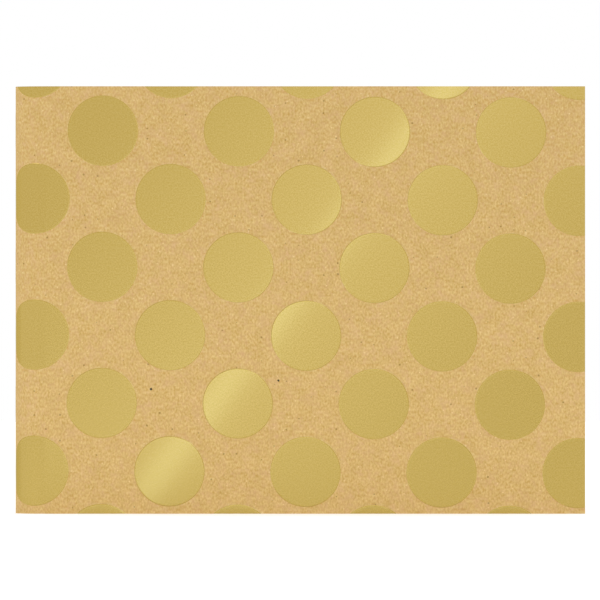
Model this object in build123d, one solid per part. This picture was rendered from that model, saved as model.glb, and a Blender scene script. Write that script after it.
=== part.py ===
from build123d import *
import os
from math import atan, ceil, cos, degrees, floor, pi, radians, sin

# A roll of gift-wrapping paper that stands on its end, with the free end of its paper drawn off
# sideways and standing on its long edge. Three spirally wound board plies make the core. The paper
# is fixed to the core with a strip of tape and wound on in one continuous spiral. Its outermost
# lap runs on into the drawn sheet, and gold foil dots are stamped on the outward face.
#
# Axes: the roll turns about Z. The drawn sheet leaves the roll at its front (-Y) and runs to +X,
# with its printed face towards -Y. The origin is on the roll's axis, in the plane of the end that
# the roll stands on.

# ---- Driving dimensions: millimetres and degrees ----

# Core
bore_radius = 15.9
ply_thickness = 0.5
ply_lead = 180.0            # advance of a ply's seam along the core in one turn
seam_gap = 0.4              # open butt seam, measured square to its edges
seam_stagger = 120.0        # angle between the seams of neighbouring plies
glue_line = 0.08            # adhesive between pieces that are glued or stamped face to face

# Paper
web_width = 305.0           # width of the paper, and length of the core cut with it
paper_thickness = 0.3
winding_turns = 7
winding_gap = 0.16          # air between neighbouring turns
drawn_length = 384.8        # flat stretch, from the line where it leaves the roll to its free edge
lap_angle = 330.0           # how far the outermost lap reaches round the roll behind that line
running_gap = 0.4           # between the winding and the lap that it turns in

# Tape under the first edge of the paper
tape_width = 12.0
tape_thickness = 0.1

# Foil dots, in staggered columns and rows
dot_radius = 25.0
foil_thickness = 0.1
column_step = 48.4          # between neighbouring columns, along the web
row_step = 48.5             # between neighbouring rows, across the web
first_column = -7.8         # a column's distance along the sheet from the line where it leaves the roll
first_row = 30.3            # height of that column's lowest whole dot
smallest_sliver = 2.0       # a dot that an edge leaves less of than this isn't there
quarter_points = 6          # steps in each quarter of the outline of a dot that is wrapped round the roll

# ---- Worked out from them ----

core_radius = bore_radius + 3 * ply_thickness + 2 * glue_line
tape_radius = core_radius + glue_line
turn_pitch = paper_thickness + winding_gap
half_turns = 2 * round(winding_turns)

# The winding is made of half-turn arcs whose centres lie a quarter of the pitch to either side of
# the axis, so that each arc runs smoothly into the next, which is half a pitch larger.
arc_offset = turn_pitch / 4
first_arc_radius = tape_radius + tape_thickness + glue_line + arc_offset
last_arc_radius = first_arc_radius + (half_turns - 1) * turn_pitch / 2
winding_reach = last_arc_radius + arc_offset + paper_thickness

lap_inner_radius = winding_reach + running_gap
lap_outer_radius = lap_inner_radius + paper_thickness
leaving_angle = -90.0
lap_start_angle = leaving_angle - lap_angle
lap_length = radians(lap_angle) * lap_outer_radius

foil_seat = paper_thickness + glue_line
dot_reach = dot_radius - smallest_sliver


# ---- Core ----

def core_ply(number):
    """One ply of the core: a tube whose two edges meet in an open helical butt seam."""
    inner = bore_radius + number * (ply_thickness + glue_line)
    outer = inner + ply_thickness
    tube = extrude(Circle(outer) - Circle(inner), web_width)

    middle = (inner + outer) / 2
    seam_slope = atan(ply_lead / (2 * pi * middle))
    seam_width = seam_gap / sin(seam_slope)
    overrun = ply_thickness
    slot = Plane.XY.offset(-overrun) * Pos(middle, 0) * Rectangle(2 * ply_thickness, seam_width)
    slot_length = web_width + 2 * overrun
    cutter = Solid.extrude_linear_with_rotation(
        slot.face(), (0, 0, -overrun), (0, 0, slot_length), 360 * slot_length / ply_lead
    )
    return Rot(0, 0, number * seam_stagger) * (tube - cutter)


# ---- Paper on the roll ----

def wound_paper():
    """The paper on the roll: one strip, wound in a spiral from the core outwards."""
    inner_arcs = []
    outer_arcs = []
    for k in range(half_turns):
        side = k % 2
        centre = (arc_offset * (2 * side - 1), 0)
        radius = first_arc_radius + k * turn_pitch / 2
        inner_arcs.append(CenterArc(centre, radius, 180 * side, 180))
        outer_arcs.append(CenterArc(centre, radius + paper_thickness, 180 * side, 180))
    first_edge = Line(inner_arcs[0] @ 0, outer_arcs[0] @ 0)
    last_edge = Line(inner_arcs[-1] @ 1, outer_arcs[-1] @ 1)
    strip = make_face(inner_arcs + outer_arcs + [first_edge, last_edge])
    return Rot(0, 0, lap_start_angle) * extrude(strip, web_width)


def start_tape():
    """Strip of tape on the core, under the first edge of the paper."""
    tape_angle = degrees(tape_width / tape_radius)
    inner = CenterArc((0, 0), tape_radius, 0, tape_angle)
    outer = CenterArc((0, 0), tape_radius + tape_thickness, 0, tape_angle)
    ends = [Line(inner @ 0, outer @ 0), Line(inner @ 1, outer @ 1)]
    return Rot(0, 0, lap_start_angle) * extrude(make_face([inner, outer] + ends), web_width)


# ---- Drawn sheet, with the outermost lap of the roll ----

def sheet_path(radius, start, end):
    """The sheet's path at one distance from the axis, from start to end along it."""
    path = []
    if start < 0:
        start_angle = leaving_angle + degrees(start / lap_outer_radius)
        sweep = degrees((min(end, 0) - start) / lap_outer_radius)
        path.append(CenterArc((0, 0), radius, start_angle, sweep))
    if end > 0:
        path.append(Line((max(start, 0), -radius), (end, -radius)))
    return path


def sheet_strip(inside, outside, start, end):
    """Strip that follows the lap and the flat stretch, between two distances from their back."""
    start = max(start, -lap_length)
    end = min(end, drawn_length)
    back = sheet_path(lap_inner_radius + inside, start, end)
    front = sheet_path(lap_inner_radius + outside, start, end)
    ends = [Line(back[0] @ 0, front[0] @ 0), Line(back[-1] @ 1, front[-1] @ 1)]
    return extrude(make_face(back + front + ends), web_width)


def on_sheet(distance):
    """Point and outward normal of the printed face, at a distance along it from the leaving line."""
    if distance >= 0:
        return Vector(distance, -lap_outer_radius), Vector(0, -1)
    angle = radians(leaving_angle) + distance / lap_outer_radius
    normal = Vector(cos(angle), sin(angle))
    return normal * lap_outer_radius, normal


# ---- Foil dots ----

def dot_rows(column):
    """Heights of the dots in a column; neighbouring columns are staggered by one row step."""
    start = first_row + row_step * (column % 2)
    lowest = ceil((-dot_reach - start) / (2 * row_step))
    highest = floor((web_width + dot_reach - start) / (2 * row_step))
    return [start + 2 * row_step * k for k in range(lowest, highest + 1)]


def wrapped_outline(distance, across):
    """Outline of a dot that lies round the roll, as it looks from square over its middle."""
    quarters = []
    for quarter in range(4):
        points = []
        for k in range(quarter_points + 1):
            angle = radians(90 * (quarter + k / quarter_points))
            edge_point = on_sheet(distance + dot_radius * cos(angle))[0]
            points.append((edge_point.dot(across), dot_radius * sin(angle)))
        ends = [radians(90 * quarter), radians(90 * (quarter + 1))]
        quarters.append(Spline(*points, tangents=[(-sin(angle), cos(angle)) for angle in ends]))
    return make_face(quarters)


def foil_dot(distance, height):
    """A round dot, laid round the sheet's curve, and cut off where the sheet ends."""
    start = distance - dot_radius
    end = distance + dot_radius
    overrun = dot_radius / 10
    film = sheet_strip(foil_seat, foil_seat + foil_thickness, start - overrun, end + overrun)
    centre, normal = on_sheet(distance)
    across = Vector(-normal.Y, normal.X)
    if start >= 0:
        outline = Pos(centre.dot(across), 0) * Circle(dot_radius)
    else:
        outline = wrapped_outline(distance, across)
    plane = Plane((0, 0, height), x_dir=across, z_dir=normal)
    return film & extrude(plane * outline, lap_outer_radius + glue_line + 2 * foil_thickness)


def foil_dots(start, end):
    """The dots whose centres lie from start to end along the sheet, as separate solids."""
    lowest = ceil((start - first_column) / column_step)
    highest = ceil((end - first_column) / column_step) - 1
    dots = []
    for column in range(lowest, highest + 1):
        for height in dot_rows(column):
            dots += foil_dot(first_column + column_step * column, height).solids()
    return Compound(children=dots)


nodes = {
    "core_inner_ply": core_ply(0),
    "core_middle_ply": core_ply(1),
    "core_outer_ply": core_ply(2),
    "start_tape": start_tape(),
    "wound_paper": wound_paper(),
    "drawn_sheet": sheet_strip(0, paper_thickness, -lap_length, drawn_length),
    "sheet_foil_dots": foil_dots(0, drawn_length + dot_reach),
    "lap_foil_dots": foil_dots(-lap_length - dot_reach, 0),
}

os.makedirs("parts", exist_ok=True)
for name, shape in nodes.items():
    export_step(shape, f"parts/{name}.step")
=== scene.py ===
from math import ceil, cos, floor, pi, radians, sin, tau

import bmesh
import bpy
from bpy.props import FloatProperty, FloatVectorProperty, IntProperty, PointerProperty
from mathutils import Matrix, Vector


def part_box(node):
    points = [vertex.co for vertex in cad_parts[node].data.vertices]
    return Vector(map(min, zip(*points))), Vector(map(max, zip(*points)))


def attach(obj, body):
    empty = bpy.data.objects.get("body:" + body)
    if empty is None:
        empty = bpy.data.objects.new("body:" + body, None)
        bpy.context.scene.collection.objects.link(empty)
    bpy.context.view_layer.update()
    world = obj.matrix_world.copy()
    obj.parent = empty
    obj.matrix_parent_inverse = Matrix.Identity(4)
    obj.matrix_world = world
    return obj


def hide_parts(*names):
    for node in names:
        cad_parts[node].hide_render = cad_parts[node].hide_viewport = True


bl_info = {
    "name": "Gift Wrap Roll",
    "version": (1, 0, 0),
    "blender": (4, 5, 0),
    "location": "View3D > Sidebar > Gift Wrap",
    "description": "Builds a roll of dotted kraft gift wrap, with its end drawn off as a sheet",
    "category": "Add Mesh",
}

# A roll of kraft gift wrap with gold foil dots. It stands on its end, about Z, and the free end
# of its paper is drawn off to +X as a flat sheet that stands on its long edge. The sheet's
# printed face looks towards -Y. The core's plies and the tape are the frame's own pieces.

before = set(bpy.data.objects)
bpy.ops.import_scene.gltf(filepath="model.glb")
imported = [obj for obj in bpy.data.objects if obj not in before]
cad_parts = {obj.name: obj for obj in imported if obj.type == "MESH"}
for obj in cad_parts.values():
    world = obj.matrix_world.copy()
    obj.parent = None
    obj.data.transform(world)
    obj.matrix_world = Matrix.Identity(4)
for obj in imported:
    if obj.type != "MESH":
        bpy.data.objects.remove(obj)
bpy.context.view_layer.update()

# ---- The frame that every piece is fitted to, in metres ----

MM = 0.001

sheet_low, sheet_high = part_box("drawn_sheet")
WEB_WIDTH = sheet_high.z
DRAWN_LENGTH = sheet_high.x
LAP_RADIUS = -sheet_low.x

winding_low, winding_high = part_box("wound_paper")
WINDING_RADIUS = min(-winding_low.x, winding_high.x, -winding_low.y, winding_high.y)
CORE_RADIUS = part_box("core_outer_ply")[1].x
PLIES = ("core_inner_ply", "core_middle_ply", "core_outer_ply")

# ---- How finely the meshes are made ----

SHEET_CELLS = (64, 40)      # along the sheet and across it
DOT_SEGMENTS = 96           # round a dot
WINDING_SEGMENTS = 90       # round one turn of the winding
BEND_STEP = 0.8 * MM        # between the cuts that let the web bend round the roll
CUT_TOLERANCE = 0.0001 * MM
WELD_DISTANCE = 0.002 * MM  # corners nearer to each other than this become one

# ---- Details of the pieces ----

TAPE_THICKNESS = 0.2 * MM   # with its glue, between the core and the first turn of paper
PAPER_SHARE = 0.86          # of the winding's pitch that is paper; the rest is air
FOIL_LIFT = 0.01 * MM       # height of a dot's outline over the paper

# A dot's rolled rim: steps inwards from its outline, and how far each one rises.
FOIL_RIM = (
    (0.25 * MM, 0.05 * MM),
    (0.35 * MM, 0.03 * MM),
    (0.20 * MM, 0.0),
)


# ---- Sizes and colours that a user can change ----

class WrapSheet(bpy.types.PropertyGroup):
    """The drawn sheet and the outermost lap of the roll"""

    thickness: FloatProperty(
        name="Paper thickness",
        description="Thickness of the kraft paper",
        default=0.2 * MM,
        precision=5,
        unit="LENGTH",
    )
    lap_angle: FloatProperty(
        name="Lap",
        description="How far the outermost lap reaches round the roll",
        default=radians(330),
        subtype="ANGLE",
    )
    kraft: FloatVectorProperty(
        name="Kraft",
        description="Colour of the bare kraft paper",
        default=(0.69, 0.463, 0.166),
        subtype="COLOR",
    )
    speck: FloatVectorProperty(
        name="Fibre specks",
        description="Colour of the dark fibre specks in the paper",
        default=(0.22, 0.11, 0.004),
        subtype="COLOR",
    )


class WrapDots(bpy.types.PropertyGroup):
    """The foil dots, in staggered columns and rows"""

    radius: FloatProperty(
        name="Dot radius",
        description="Radius of a foil dot",
        default=25.15 * MM,
        precision=4,
        unit="LENGTH",
    )
    thickness: FloatProperty(
        name="Foil thickness",
        description="Thickness of the foil and its release coat",
        default=0.08 * MM,
        precision=5,
        unit="LENGTH",
    )
    column_step: FloatProperty(
        name="Column step",
        description="Distance between neighbouring columns, along the paper",
        default=48.54 * MM,
        precision=4,
        unit="LENGTH",
    )
    row_step: FloatProperty(
        name="Row step",
        description="Distance between neighbouring rows, across the paper",
        default=48.56 * MM,
        precision=4,
        unit="LENGTH",
    )
    first_column: FloatProperty(
        name="First column",
        description="Place of a column, along the paper from the line where it leaves the roll",
        default=-8.85 * MM,
        precision=4,
        unit="LENGTH",
    )
    first_row: FloatProperty(
        name="First row",
        description="Height of that column's lowest whole dot",
        default=30.75 * MM,
        precision=4,
        unit="LENGTH",
    )
    skew: FloatProperty(
        name="Skew",
        description="How far the columns and rows of dots are turned on the paper",
        default=radians(0.25),
        subtype="ANGLE",
    )
    foil: FloatVectorProperty(
        name="Foil",
        description="Colour of the gold foil",
        default=(0.546, 0.391, 0.1055),
        subtype="COLOR",
    )
    roughness: FloatProperty(
        name="Foil roughness",
        description="How much the foil scatters what it reflects",
        default=0.12,
        min=0,
        max=1,
        subtype="FACTOR",
    )


class WrapRoll(bpy.types.PropertyGroup):
    """The paper wound on the roll, and its core"""

    turns: IntProperty(
        name="Turns",
        description="Turns of paper between the core and the outermost lap",
        default=29,
        min=3,
    )
    board: FloatVectorProperty(
        name="Core board",
        description="Colour of the board that the core is wound from",
        default=(0.36, 0.27, 0.175),
        subtype="COLOR",
    )
    tape: FloatVectorProperty(
        name="Tape",
        description="Colour of the tape on the first edge of the paper",
        default=(0.78, 0.72, 0.55),
        subtype="COLOR",
    )


# ---- Shader maths ----

class Value:
    """An output socket that can be used in sums, as a number can."""

    def __init__(self, graph, socket):
        self.graph = graph
        self.socket = socket

    def maths(self, operation, first, second):
        inputs = {0: first, 1: second}
        return self.graph.node("ShaderNodeMath", {"operation": operation}, inputs)

    def __add__(self, other):
        return self.maths("ADD", self, other)

    def __sub__(self, other):
        return self.maths("SUBTRACT", self, other)

    def __rsub__(self, other):
        return self.maths("SUBTRACT", other, self)

    def __mul__(self, other):
        return self.maths("MULTIPLY", self, other)

    def __lt__(self, other):
        return self.maths("LESS_THAN", self, other)

    def at_least(self, other):
        """The larger of two values."""
        return self.maths("MAXIMUM", self, other)

    def fade(self, low, high):
        """0 up to low, 1 from high, and smooth between them."""
        inputs = {"Value": self, "From Min": low, "From Max": high}
        return self.graph.node("ShaderNodeMapRange", {"interpolation_type": "SMOOTHSTEP"}, inputs)


class Graph:
    """A node tree, emptied, with an output node to build up to."""

    def __init__(self, tree, output_kind):
        self.tree = tree
        self.tree.nodes.clear()
        self.output = self.tree.nodes.new(output_kind)

    def give(self, socket, value):
        """Links a socket to a Value, or sets it to a number or colour."""
        if isinstance(value, Value):
            self.tree.links.new(value.socket, socket)
        elif socket.type == "RGBA" and len(value) == 3:
            socket.default_value = (*value, 1)
        else:
            socket.default_value = value

    def node(self, kind, settings=None, inputs=None, output=0):
        """Adds a node: its settings first, then the values or links of its sockets."""
        node = self.tree.nodes.new(kind)
        for name, value in (settings or {}).items():
            setattr(node, name, value)
        for name, value in (inputs or {}).items():
            self.give(node.inputs[name], value)
        return Value(self, node.outputs[output])

    def ray(self, kind):
        """1 on rays of a kind, such as Camera or Glossy, and 0 on all others."""
        return self.node("ShaderNodeLightPath", output=f"Is {kind} Ray")


class Shader(Graph):
    """A material's node tree, with a Principled BSDF at the end."""

    def __init__(self, name):
        self.material = bpy.data.materials.new(name)
        self.material.use_nodes = True
        super().__init__(self.material.node_tree, "ShaderNodeOutputMaterial")
        self.surface = self.tree.nodes.new("ShaderNodeBsdfPrincipled")
        self.tree.links.new(self.surface.outputs[0], self.output.inputs["Surface"])

    def set(self, **sockets):
        """Sets sockets of the Principled BSDF; Base_Color stands for Base Color."""
        for name, value in sockets.items():
            self.give(self.surface.inputs[name.replace("_", " ")], value)

    def noise(self, place, scale, detail, roughness):
        inputs = {"Vector": place, "Scale": scale, "Detail": detail, "Roughness": roughness}
        return self.node("ShaderNodeTexNoise", {}, inputs, "Fac")

    def cells(self, place, scale, output):
        flat = {"voronoi_dimensions": "2D"}
        return self.node("ShaderNodeTexVoronoi", flat, {"Vector": place, "Scale": scale}, output)

    def mix(self, factor, first, second, blend="MIX"):
        """A colour between two colours. The numbers are the Mix node's colour sockets."""
        settings = {"data_type": "RGBA", "blend_type": blend}
        return self.node("ShaderNodeMix", settings, {0: factor, 6: first, 7: second}, 2)

    def part(self, colour, channel):
        return self.node("ShaderNodeSeparateColor", {}, {"Color": colour}, channel)

    def web(self, stretch=(1, 1, 1), turn=0.0):
        """Place on the paper, in metres along and across it, from the piece's own UV map."""
        uv = self.node("ShaderNodeUVMap", {"uv_map": "web"})
        inputs = {"Vector": uv, "Scale": stretch, "Rotation": (0, 0, turn)}
        return self.node("ShaderNodeMapping", {}, inputs)

    def object_place(self, stretch=(1, 1, 1)):
        """Place in the piece, in metres along its own axes."""
        place = self.node("ShaderNodeTexCoord", output="Object")
        return self.node("ShaderNodeMapping", {}, {"Vector": place, "Scale": stretch})

    def bump(self, height, distance, strength):
        inputs = {"Height": height, "Distance": distance, "Strength": strength}
        self.set(Normal=self.node("ShaderNodeBump", {}, inputs))


# ---- Materials ----

def tinted(colour, red, green, blue):
    return (colour[0] * red, colour[1] * green, colour[2] * blue)


def shaded(colour, amount):
    return tinted(colour, amount, amount, amount)


def specks(shader, place, spacing, radius, share):
    """Mask of small ragged specks: this share of the cells, a spacing apart, has one each."""
    scale = 1 / spacing
    cell = shader.cells(place, scale, "Color")
    chance = shader.part(cell, "Red")
    size = shader.part(cell, "Green") * 0.7 + 0.3
    wobble = shader.noise(place, scale=3 / radius, detail=2, roughness=0.5) * 1.6 + 0.2
    distance = shader.cells(place, scale, "Distance") * spacing
    beyond_edge = distance - size * radius * wobble
    inside = 1 - beyond_edge.fade(-0.1 * radius, 0.25 * radius)
    return inside * (chance < share)


def kraft_paper(name, colour, speck_colour):
    """Kraft paper: fine grain, faint clouds and blush, and specks of bark and bleached fibre."""
    shader = Shader(name)
    pulp_place = shader.web(stretch=(1.08, 0.68, 1.0))
    pulp = shader.noise(pulp_place, scale=740, detail=2, roughness=0.5)
    fibre_place = shader.web(stretch=(0.4, 1, 1), turn=radians(35))
    fibres = shader.noise(fibre_place, scale=1300, detail=1, roughness=0.5)
    clouds = shader.noise(shader.web(turn=radians(15)), scale=90, detail=3, roughness=0.8)
    blush = shader.noise(shader.web(turn=radians(70)), scale=90, detail=3, roughness=1.0)

    # Grain, clouds and blush
    pale = tinted(colour, 1.12, 1.225, 1.42)
    deep = tinted(colour, 0.87, 0.775, 0.58)
    tone = shader.mix(pulp.fade(0.22, 0.78), deep, pale)
    tone = shader.mix(fibres.fade(0.5, 0.8) * 0.15, tone, pale)
    cloudy = shader.mix(clouds.fade(0.2, 0.8), (0.93, 0.916, 0.845), (1.07, 1.084, 1.155))
    tone = shader.mix(1.0, tone, cloudy, "MULTIPLY")
    tone = shader.mix(blush.fade(0.4, 0.8) * 0.6, tone, tinted(colour, 1.05, 0.97, 1.5))

    # Specks
    bark = specks(shader, shader.web(), spacing=9 * MM, radius=0.68 * MM, share=0.17)
    tone = shader.mix(bark * 0.55, tone, speck_colour)
    soot_place = shader.web(turn=radians(40))
    soot = specks(shader, soot_place, spacing=22 * MM, radius=1.5 * MM, share=0.02)
    tone = shader.mix(soot * 0.95, tone, (0.01, 0.02, 0.02))
    bleached_place = shader.web(turn=radians(20))
    bleached = specks(shader, bleached_place, spacing=6 * MM, radius=0.55 * MM, share=0.3)
    tone = shader.mix(bleached * 0.7, tone, tinted(colour, 1.26, 1.42, 2.0))

    shader.set(Base_Color=tone, Roughness=0.9, Specular_IOR_Level=0.25)
    shader.bump(pulp * 0.5 + fibres * 0.5, distance=0.05 * MM, strength=0.5)
    return shader.material


def gold_foil(name, colour, roughness):
    """Satin stamping foil: it follows the tooth of the paper under it."""
    shader = Shader(name)
    grain = shader.noise(shader.web(), scale=900, detail=2, roughness=0.6)
    tooth = shader.noise(shader.web(), scale=420, detail=3, roughness=0.6)
    dull = tinted(colour, 0.94, 0.925, 0.775)
    bright = tinted(colour, 1.06, 1.075, 1.225)
    tone = shader.mix(grain.fade(0.3, 0.7), dull, bright)
    shader.set(Base_Color=tone, Metallic=1.0, Roughness=grain * 0.08 + (roughness - 0.04))
    shader.set(Specular_Tint=(0.79, 0.725, 0.505))
    shader.bump(tooth * 0.6 + grain * 0.4, distance=0.02 * MM, strength=0.25)
    return shader.material


def core_board(name, colour):
    """Grey-brown board: flecked recycled fibre."""
    shader = Shader(name)
    pulp = shader.noise(shader.object_place(), scale=700, detail=4, roughness=0.65)
    fleck_place = shader.object_place(stretch=(1, 1, 0.3))
    flecks = shader.noise(fleck_place, scale=1600, detail=2, roughness=0.5)
    tone = shader.mix(pulp.fade(0.3, 0.7), shaded(colour, 0.82), shaded(colour, 1.18))
    tone = shader.mix(flecks.fade(0.62, 0.75) * 0.5, tone, shaded(colour, 1.6))
    tone = shader.mix((1 - flecks.fade(0.25, 0.38)) * 0.6, tone, shaded(colour, 0.35))
    shader.set(Base_Color=tone, Roughness=0.92, Specular_IOR_Level=0.2)
    shader.bump(pulp * 0.6 + flecks * 0.4, distance=0.08 * MM, strength=0.6)
    return shader.material


def sticky_tape(name, colour):
    """Tape: satin, slightly cloudy."""
    shader = Shader(name)
    clouds = shader.noise(shader.object_place(), scale=180, detail=3, roughness=0.6)
    shader.set(Base_Color=shader.mix(clouds, shaded(colour, 0.9), colour))
    shader.set(Roughness=clouds * 0.2 + 0.3)
    return shader.material


# ---- The web of paper, first flat: x along it, y across it, z out of its printed face ----

def lap_length(scene):
    """Length of the outermost lap, back from the line where the paper leaves the roll."""
    return scene.wrap_sheet.lap_angle * LAP_RADIUS


def cut_plane(mesh, place, outwards, trim=False):
    """Cuts flat web geometry along a plane; trim removes what lies beyond it."""
    geometry = mesh.verts[:] + mesh.edges[:] + mesh.faces[:]
    bmesh.ops.bisect_plane(
        mesh,
        geom=geometry,
        plane_co=place,
        plane_no=outwards,
        dist=CUT_TOLERANCE,
        clear_outer=trim,
    )


def trim_web(mesh, length_back):
    """Trims flat web geometry to the paper's edges."""
    cut_plane(mesh, (-length_back, 0, 0), (-1, 0, 0), trim=True)
    cut_plane(mesh, (DRAWN_LENGTH, 0, 0), (1, 0, 0), trim=True)
    cut_plane(mesh, (0, 0, 0), (0, -1, 0), trim=True)
    cut_plane(mesh, (0, WEB_WIDTH, 0), (0, 1, 0), trim=True)


def map_web(mesh, scale=(1, 1)):
    """Stores each vertex's place on the flat web as the UV map that the patterns follow."""
    layer = mesh.loops.layers.uv.new("web")
    for face in mesh.faces:
        for loop in face.loops:
            along, across, _ = loop.vert.co
            loop[layer].uv = (along * scale[0], across * scale[1])


def lay_on_web(point):
    """Moves a point of the flat web to its place on the lap or on the drawn sheet."""
    along, across, out = point
    radius = LAP_RADIUS + out
    if along >= 0:
        return Vector((along, -radius, across))
    angle = -pi / 2 + along / LAP_RADIUS
    return Vector((radius * cos(angle), radius * sin(angle), across))


def bend_web(mesh, length_back):
    """Slices flat web geometry where it has to bend, maps it, and lays it round the roll."""
    for cut in range(ceil(length_back / BEND_STEP) + 1):
        cut_plane(mesh, (-cut * BEND_STEP, 0, 0), (1, 0, 0))
    bmesh.ops.remove_doubles(mesh, verts=mesh.verts, dist=WELD_DISTANCE)
    map_web(mesh)
    for vertex in mesh.verts:
        vertex.co = lay_on_web(vertex.co)


# ---- Pieces ----

def make_piece(mesh, name, material, body, thickness, side=-1):
    """Makes the object of a bmesh, with a wall on one side of it, and fixes it to a body."""
    for edge in mesh.edges:
        edge.smooth = not edge.is_boundary
    for face in mesh.faces:
        face.smooth = True
    data = bpy.data.meshes.new(name)
    mesh.to_mesh(data)
    mesh.free()
    data.materials.append(material)
    piece = bpy.data.objects.new(name, data)
    bpy.context.scene.collection.objects.link(piece)
    wall = piece.modifiers.new("Thickness", "SOLIDIFY")
    wall.thickness = thickness
    wall.offset = side
    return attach(piece, body)


class WRAP_OT_sheet(bpy.types.Operator):
    """Make the drawn sheet and the outermost lap, as one web of paper"""

    bl_idname = "wrap.sheet"
    bl_label = "Drawn Sheet"

    def execute(self, context):
        size = context.scene.wrap_sheet
        length_back = lap_length(context.scene)
        length = length_back + DRAWN_LENGTH
        mesh = bmesh.new()
        columns, rows = SHEET_CELLS
        bmesh.ops.create_grid(mesh, x_segments=columns, y_segments=rows, size=0.5)
        bmesh.ops.scale(mesh, verts=mesh.verts, vec=(length, WEB_WIDTH, 1))
        centre = Vector((length / 2 - length_back, WEB_WIDTH / 2, 0))
        bmesh.ops.translate(mesh, verts=mesh.verts, vec=centre)
        bend_web(mesh, length_back)
        material = kraft_paper("kraft paper", size.kraft, size.speck)
        sheet = make_piece(mesh, "paper_sheet", material, "sheet", size.thickness)
        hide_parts("drawn_sheet")
        return {"FINISHED"}


def foil_disc(mesh, radius, along, across):
    """One foil dot on the flat web: a low disc with a rolled rim."""
    made = bmesh.ops.create_circle(mesh, cap_ends=True, segments=DOT_SEGMENTS, radius=radius)
    face = made["verts"][0].link_faces[0]
    bmesh.ops.translate(mesh, verts=made["verts"], vec=(along, across, FOIL_LIFT))
    for step, rise in FOIL_RIM:
        bmesh.ops.inset_region(mesh, faces=[face], use_boundary=True, thickness=step)
        bmesh.ops.translate(mesh, verts=face.verts, vec=(0, 0, rise))


def dot_places(size, length_back, on_flat):
    """Places of the dots whose columns have their foot on the flat stretch, or on the lap."""
    turn = Matrix.Rotation(-size.skew, 2)
    first = ceil((-length_back - size.radius - size.first_column) / size.column_step)
    last = floor((DRAWN_LENGTH + size.radius - size.first_column) / size.column_step)
    for column in range(first, last + 1):
        foot = size.first_column + column * size.column_step
        if (foot >= 0) != on_flat:
            continue
        start = size.first_row + size.row_step * (column % 2)
        lowest = ceil((-size.radius - start) / (2 * size.row_step))
        highest = floor((WEB_WIDTH + size.radius - start) / (2 * size.row_step))
        for row in range(lowest, highest + 1):
            rise = start - size.first_row + 2 * size.row_step * row
            step = turn @ Vector((column * size.column_step, rise))
            yield size.first_column + step.x, size.first_row + step.y


class WRAP_OT_dots(bpy.types.Operator):
    """Stamp the foil dots on the drawn sheet and on the lap"""

    bl_idname = "wrap.dots"
    bl_label = "Foil Dots"

    def execute(self, context):
        size = context.scene.wrap_dots
        length_back = lap_length(context.scene)
        material = gold_foil("gold foil", size.foil, size.roughness)
        for name, node, on_flat in (
            ("foil_dots_flat", "sheet_foil_dots", True),
            ("foil_dots_lap", "lap_foil_dots", False),
        ):
            mesh = bmesh.new()
            for along, across in dot_places(size, length_back, on_flat):
                foil_disc(mesh, size.radius, along, across)
            trim_web(mesh, length_back)
            bend_web(mesh, length_back)
            dots = make_piece(mesh, name, material, "sheet", size.thickness)
            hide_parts(node)
        return {"FINISHED"}


def end_drift(turn):
    """How far the paper's edge stands out of the roll's end, this many turns out from the core."""
    return 0.12 * MM * sin(turn * 2.1) + 0.1 * MM * sin(turn * 5.3 + 1) - 0.25 * MM


class WRAP_OT_winding(bpy.types.Operator):
    """Wind the rest of the paper on the core, in one spiral"""

    bl_idname = "wrap.winding"
    bl_label = "Wound Paper"

    def execute(self, context):
        turns = context.scene.wrap_roll.turns
        start_angle = -pi / 2 - context.scene.wrap_sheet.lap_angle
        first_radius = CORE_RADIUS + TAPE_THICKNESS
        pitch = (WINDING_RADIUS - first_radius) / turns
        length = turns * tau * (first_radius + WINDING_RADIUS) / 2
        mesh = bmesh.new()
        bmesh.ops.create_grid(mesh, x_segments=turns * WINDING_SEGMENTS, y_segments=2, size=0.5)
        map_web(mesh, scale=(length, WEB_WIDTH))
        for vertex in mesh.verts:
            turn = (vertex.co.x + 0.5) * turns
            angle = start_angle + turn * tau
            radius = first_radius + pitch * turn
            end = vertex.co.y * 2   # -1 at the foot of the roll, 1 at its top
            height = WEB_WIDTH / 2 + end * (WEB_WIDTH / 2 + end_drift(turn))
            vertex.co = (radius * cos(angle), radius * sin(angle), height)
        paper = bpy.data.materials["kraft paper"]
        thickness = pitch * PAPER_SHARE
        winding = make_piece(mesh, "wound_paper_turns", paper, "roll", thickness, side=1)
        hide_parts("wound_paper")
        return {"FINISHED"}


def dress(node_name, material):
    """Gives a piece of the frame that is kept as it is its material."""
    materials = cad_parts[node_name].data.materials
    materials.clear()
    materials.append(material)


class WRAP_OT_core(bpy.types.Operator):
    """Dress the core's plies of board, and the tape on the paper's first edge"""

    bl_idname = "wrap.core"
    bl_label = "Core"

    def execute(self, context):
        size = context.scene.wrap_roll
        board = core_board("core board", size.board)
        for name in PLIES:
            dress(name, board)
        dress("start_tape", sticky_tape("start tape", size.tape))
        return {"FINISHED"}


# ---- Stage ----

WHITE = (1, 1, 1)
COOL = (0.5, 0.6, 1.0)
FLOOR_SIZE = 6.0
CAMERA_DISTANCE = 8.0
VIEW_WIDTH = 0.4281         # what the camera sees from side to side, at the sheet
BAND_LENGTH = 0.7
BAND_SLANT = radians(-36.8)


def lay_floor():
    """White floor that keeps shadows, and is lifted to white where camera or foil sees it."""
    shader = Shader("studio floor")
    seen = shader.ray("Camera").at_least(shader.ray("Glossy") * 0.5)
    shader.set(Base_Color=(0.9, 0.9, 0.9), Roughness=0.9)
    shader.set(Emission_Color=WHITE, Emission_Strength=seen * 0.3)

    mesh = bmesh.new()
    bmesh.ops.create_grid(mesh, x_segments=1, y_segments=1, size=FLOOR_SIZE)
    data = bpy.data.meshes.new("floor")
    mesh.to_mesh(data)
    mesh.free()
    data.materials.append(shader.material)
    floor_piece = bpy.data.objects.new("floor", data)
    bpy.context.scene.collection.objects.link(floor_piece)


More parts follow.
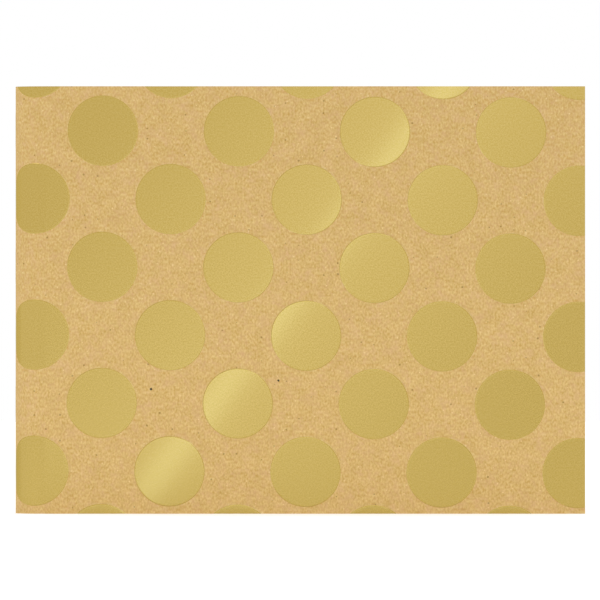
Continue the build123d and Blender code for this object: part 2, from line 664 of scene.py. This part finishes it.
def hang_backdrop():
    """White all round: it lights the pieces a little less than camera and foil see of it."""
    world = bpy.data.worlds.new("studio")
    world.use_nodes = True
    graph = Graph(world.node_tree, "ShaderNodeOutputWorld")
    seen = graph.node("ShaderNodeBackground", {}, {"Color": WHITE, "Strength": 1.0})
    fill = graph.node("ShaderNodeBackground", {}, {"Color": WHITE, "Strength": 0.9})
    camera_or_gloss = graph.ray("Camera").at_least(graph.ray("Glossy"))
    backdrop = graph.node("ShaderNodeMixShader", {}, {0: camera_or_gloss, 1: fill, 2: seen})
    graph.give(graph.output.inputs["Surface"], backdrop)
    bpy.context.scene.world = world


def set_camera(middle):
    """Camera that looks square at the sheet's printed face, from far off."""
    camera = bpy.data.cameras.new("camera")
    camera.sensor_width = 36
    camera.lens = camera.sensor_width * CAMERA_DISTANCE / VIEW_WIDTH
    eye = bpy.data.objects.new("camera", camera)
    eye.location = middle + Vector((0, -CAMERA_DISTANCE, 0))
    eye.rotation_euler = (pi / 2, 0, 0)
    bpy.context.scene.collection.objects.link(eye)
    bpy.context.scene.camera = eye


def lamp(name, place, facing, size, power, colour=WHITE, turn=0.0):
    """A soft rectangular lamp."""
    data = bpy.data.lights.new(name, "AREA")
    data.shape = "RECTANGLE"
    data.size, data.size_y = size
    data.energy = power
    data.color = colour
    light = bpy.data.objects.new(name, data)
    aim = Vector(facing).to_track_quat("-Z", "Y").to_matrix().to_4x4()
    light.matrix_world = Matrix.Translation(place) @ aim @ Matrix.Rotation(turn, 4, "Z")
    light.visible_camera = False
    bpy.context.scene.collection.objects.link(light)
    return light


def mirrored_power(brightness, size):
    """Power of a lamp that foil mirrors at this brightness, however large the lamp is."""
    return brightness * pi * size[0] * size[1]


def light_foil(middle):
    """Lamps that the foil mirrors: slanting ones on the flat stretch, and low ones on the lap."""
    # Each band's distance from the sheet, shift to the right, width as seen on the sheet,
    # brightness and colour.
    bands = (
        ("strip lamp", 0.42, -0.0085, 0.017, 1.04, (0.36, 0.54, 1.0)),
        ("narrow soft lamp", 1.3, -0.013, 0.10, 0.13, COOL),
        ("middle soft lamp", 1.4, -0.013, 0.20, 0.13, COOL),
        ("wide soft lamp", 1.5, -0.013, 0.30, 0.13, COOL),
    )
    for name, distance, shift, width, brightness, colour in bands:
        spread = 1 + distance / CAMERA_DISTANCE
        place = middle + Vector((shift * spread, -distance, 0))
        size = (width * spread, BAND_LENGTH * spread)
        power = mirrored_power(brightness, size)
        lamp(name, place, (0, 1, 0), size, power, colour, BAND_SLANT)

    # The lap curves away from those, and mirrors two that stand on the floor beside the roll.
    for name, height, brightness in (
        ("high lap lamp", 0.19, 0.1),
        ("low lap lamp", 0.08, 0.075),
    ):
        place = (-0.27, -0.112, height / 2 + 2 * MM)
        size = (0.758, height)
        power = mirrored_power(brightness, size)
        light = lamp(name, place, (0.752, 0.66, 0), size, power, COOL)
        light.visible_diffuse = False


def light_paper(middle):
    """A key lamp from the upper left, and a low one that lifts the foot of the sheet."""
    key_place = Vector((-1.3, -1.6, 1.5))
    lamp("key lamp", key_place, middle - key_place, size=(1.2, 1.2), power=5.0)
    low_place = (0.2, -0.2 - LAP_RADIUS, 0.03)
    low_lamp = lamp("low lamp", low_place, (0, 1, 0), size=(1.0, 0.04), power=0.095)
    low_lamp.visible_glossy = False


class WRAP_OT_stage(bpy.types.Operator):
    """Set the floor, the backdrop, the lamps and the camera"""

    bl_idname = "wrap.stage"
    bl_label = "Stage"

    def execute(self, context):
        context.scene.view_settings.view_transform = "Standard"
        middle = Vector(((DRAWN_LENGTH - LAP_RADIUS) / 2, -LAP_RADIUS, WEB_WIDTH / 2))
        lay_floor()
        hang_backdrop()
        set_camera(middle)
        light_foil(middle)
        light_paper(middle)
        return {"FINISHED"}


class WRAP_PT_panel(bpy.types.Panel):
    """The pieces of the roll, in the order in which they are made"""

    bl_idname = "WRAP_PT_panel"
    bl_label = "Gift Wrap Roll"
    bl_space_type = "VIEW_3D"
    bl_region_type = "UI"
    bl_category = "Gift Wrap"

    def draw(self, context):
        layout = self.layout
        for group in (context.scene.wrap_sheet, context.scene.wrap_dots, context.scene.wrap_roll):
            box = layout.box()
            for name in group.__annotations__:
                box.prop(group, name)
        for operator in STEPS:
            layout.operator(operator.bl_idname)


GROUPS = {"wrap_sheet": WrapSheet, "wrap_dots": WrapDots, "wrap_roll": WrapRoll}
STEPS = (WRAP_OT_sheet, WRAP_OT_dots, WRAP_OT_winding, WRAP_OT_core, WRAP_OT_stage)


def register():
    for group in GROUPS.values():
        bpy.utils.register_class(group)
    for name, group in GROUPS.items():
        setattr(bpy.types.Scene, name, PointerProperty(type=group))
    for step in STEPS:
        bpy.utils.register_class(step)
    bpy.utils.register_class(WRAP_PT_panel)


def unregister():
    bpy.utils.unregister_class(WRAP_PT_panel)
    for step in reversed(STEPS):
        bpy.utils.unregister_class(step)
    for name, group in GROUPS.items():
        delattr(bpy.types.Scene, name)
        bpy.utils.unregister_class(group)


def main():
    register()
    bpy.ops.wrap.sheet()
    bpy.ops.wrap.dots()
    bpy.ops.wrap.winding()
    bpy.ops.wrap.core()
    bpy.ops.wrap.stage()


if __name__ == "__main__":
    main()
